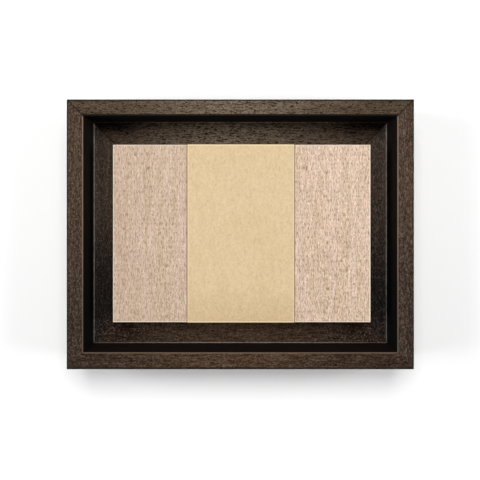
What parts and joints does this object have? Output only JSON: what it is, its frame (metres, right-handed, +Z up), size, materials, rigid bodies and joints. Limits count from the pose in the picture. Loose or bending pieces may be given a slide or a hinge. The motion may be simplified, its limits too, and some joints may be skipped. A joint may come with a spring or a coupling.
{
  "type": "tray frame",
  "caption": "Tray frame for a postcard: dark mitred L-shaped moulding round a raised pale wooden block that floats in the tray, with a plain paper band and a hanger.",
  "frame": {"origin": "middle of the frame in the plane of the moulding's back, where the wall would be", "axes": "+X across the width, +Z up as the frame hangs, -Y out of the rim towards the viewer, +Y towards the wall"},
  "size_m": [0.193, 0.0354, 0.15],
  "materials": {
    "stained_wood": "dark stain, open pores, satin",
    "pale_wood": "bare, sanded",
    "kraft_paper": "matt",
    "nail_steel": "plain",
    "zinc_plate": "yellow passivated",
    "hanger_steel": "bright zinc",
    "felt": "soft"
  },
  "bodies": {
    "root": {"rail_top": "stained_wood", "rail_bottom": "stained_wood", "rail_left": "stained_wood", "rail_right": "stained_wood", "mount_block": "pale_wood", "paper_band": "kraft_paper", "v_nail_top_left_wall": "nail_steel", "v_nail_top_left_foot": "nail_steel", "v_nail_top_right_wall": "nail_steel", "v_nail_top_right_foot": "nail_steel", "v_nail_bottom_left_wall": "nail_steel", "v_nail_bottom_left_foot": "nail_steel", "v_nail_bottom_right_wall": "nail_steel", "v_nail_bottom_right_foot": "nail_steel", "block_screw_upper_left": "zinc_plate", "block_screw_upper_right": "zinc_plate", "block_screw_lower_left": "zinc_plate", "block_screw_lower_right": "zinc_plate", "sawtooth_hanger": "hanger_steel", "hanger_nail_left": "hanger_steel", "hanger_nail_right": "hanger_steel", "wall_bumper_left": "felt", "wall_bumper_right": "felt"}
  },
  "joints": []
}
